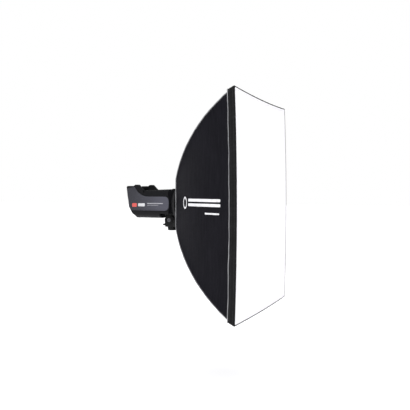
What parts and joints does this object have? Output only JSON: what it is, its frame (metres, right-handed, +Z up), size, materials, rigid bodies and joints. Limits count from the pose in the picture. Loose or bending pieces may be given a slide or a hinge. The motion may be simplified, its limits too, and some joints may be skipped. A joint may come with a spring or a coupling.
{
  "type": "softbox with studio flash head",
  "caption": "Rectangular rod-frame softbox that turns on a speedring, fitted to a studio flash head with a handle and a tilting stand bracket.",
  "frame": {"origin": "centre of the stand socket's mouth, on the socket's axis", "axes": "+X forward along the light, +Y to the object's left, +Z up along the stand socket, out of which the stand's spigot leaves along -Z"},
  "size_m": [0.5635, 0.6, 0.8],
  "materials": {
    "shell_plastic": "fine-grain moulded black plastic",
    "insert_plastic": "satin blue-grey moulded plastic",
    "bracket_black": "black glass-filled plastic with a slight sheen",
    "grip_rubber": "black ribbed rubber",
    "control_face": "smooth black panel",
    "display_glass": "dark tinted window",
    "plated_steel": "zinc-plated steel",
    "dark_steel": "blackened steel",
    "cast_metal": "machined aluminium",
    "coated_metal": "black powder coat",
    "reflector": "bright reflector sheet",
    "tube_glass": "frosted glass tube",
    "lamp_glass": "frosted lamp glass",
    "ceramic": "white ceramic",
    "board": "green circuit board",
    "can_sleeve": "blue capacitor sleeve",
    "button_grey": "soft-touch light grey",
    "sensor_red": "dark red translucent dome",
    "rod_fibre": "pale spring-steel rod",
    "shell_fabric": "black woven nylon, silver inside",
    "band_fabric": "black ribbed band fabric",
    "piping_fabric": "grey edge binding",
    "diffuser_fabric": "white translucent diffusion fabric",
    "elastic": "black elastic"
  },
  "bodies": {
    "bracket": {"bracket_yoke": "bracket_black", "tilt_bolt": "plated_steel", "tilt_rosettes": "dark_steel"},
    "tilt_lever": {"tilt_lever": "bracket_black"},
    "stand_screw": {"stand_screw": "bracket_black"},
    "head": {"tilt_lug": "coated_metal", "lug_screws": "plated_steel", "upper_shell": "shell_plastic", "lower_shell": "shell_plastic", "side_panel_left": "insert_plastic", "side_panel_right": "insert_plastic", "handle_grip": "grip_rubber", "control_panel": "control_face", "inlet_panel": "control_face", "display_window": "display_glass", "front_ring": "shell_plastic", "bayonet_ring": "cast_metal", "reflector_plate": "reflector", "flash_tube": "tube_glass", "tube_sockets": "ceramic", "modelling_lamp": "lamp_glass", "lamp_holder": "ceramic", "chassis_tray": "plated_steel", "capacitor_bank": "can_sleeve", "circuit_board": "board", "fan_frame": "bracket_black", "fuse_cap": "bracket_black", "mains_inlet": "bracket_black", "sync_socket": "plated_steel", "sensor_dome": "sensor_red", "housing_screws": "dark_steel", "ring_insert": "cast_metal", "insert_retainer": "coated_metal", "retainer_screws": "plated_steel"},
    "fan_rotor": {"fan_rotor": "bracket_black"},
    "power_dial": {"power_dial": "grip_rubber"},
    "test_button": {"test_button": "button_grey"},
    "lamp_button": {"lamp_button": "button_grey"},
    "sound_button": {"sound_button": "button_grey"},
    "slave_button": {"slave_button": "button_grey"},
    "power_rocker": {"power_rocker": "bracket_black"},
    "bayonet_latch": {"bayonet_latch": "bracket_black"},
    "softbox": {"speedring": "coated_metal", "rear_flap": "shell_fabric", "rod_upper_left": "rod_fibre", "rod_upper_right": "rod_fibre", "rod_lower_left": "rod_fibre", "rod_lower_right": "rod_fibre", "rod_tips": "grip_rubber", "panel_top": "shell_fabric", "panel_bottom": "shell_fabric", "panel_left": "shell_fabric", "panel_right": "shell_fabric", "front_band": "band_fabric", "front_diffuser": "diffuser_fabric", "inner_diffuser": "diffuser_fabric", "diffuser_straps": "elastic", "seam_piping": "piping_fabric"}
  },
  "joints": [
    {"name": "head_tilt", "type": "hinge", "parent": "bracket", "child": "head", "pos_m": [0, 0, 0.042], "axis": [0, -1, 0], "range_deg": [-30, 50]},
    {"name": "softbox_turn", "type": "hinge", "parent": "head", "child": "softbox", "pos_m": [0.0436, 0, 0.109], "axis": [1, 0, 0], "continuous": true},
    {"name": "tilt_lever_turn", "type": "hinge", "parent": "bracket", "child": "tilt_lever", "pos_m": [0, 0.0335, 0.042], "axis": [0, -1, 0], "range_deg": [0, 90]},
    {"name": "stand_screw_turn", "type": "hinge", "parent": "bracket", "child": "stand_screw", "pos_m": [-0.033, 0, 0.023], "axis": [-1, 0, 0], "range_deg": [0, 360]},
    {"name": "power_dial_turn", "type": "hinge", "parent": "head", "child": "power_dial", "pos_m": [-0.16625, 0.036, 0.118], "axis": [-0.9844, 0, -0.1758], "range_deg": [-135, 135]},
    {"name": "power_rocker_tip", "type": "hinge", "parent": "head", "child": "power_rocker", "pos_m": [-0.14994, 0.007, 0.07459], "axis": [0, 1, 0], "range_deg": [0, 10]},
    {"name": "bayonet_latch_slide", "type": "slide", "parent": "head", "child": "bayonet_latch", "axis": [-1, 0, 0], "range_m": [0, 0.004], "stiffness_N_per_m": 600, "springref_m": -0.002},
    {"name": "fan_spin", "type": "hinge", "parent": "head", "child": "fan_rotor", "pos_m": [-0.1245, 0, 0.103], "axis": [1, 0, 0], "continuous": true},
    {"name": "test_button_press", "type": "slide", "parent": "head", "child": "test_button", "axis": [0.9844, 0, 0.1758], "range_m": [0, 0.0012], "stiffness_N_per_m": 400, "springref_m": -0.001},
    {"name": "lamp_button_press", "type": "slide", "parent": "head", "child": "lamp_button", "axis": [0.9844, 0, 0.1758], "range_m": [0, 0.0012], "stiffness_N_per_m": 400, "springref_m": -0.001},
    {"name": "sound_button_press", "type": "slide", "parent": "head", "child": "sound_button", "axis": [0.9844, 0, 0.1758], "range_m": [0, 0.0012], "stiffness_N_per_m": 400, "springref_m": -0.001},
    {"name": "slave_button_press", "type": "slide", "parent": "head", "child": "slave_button", "axis": [0.9844, 0, 0.1758], "range_m": [0, 0.0012], "stiffness_N_per_m": 400, "springref_m": -0.001}
  ]
}
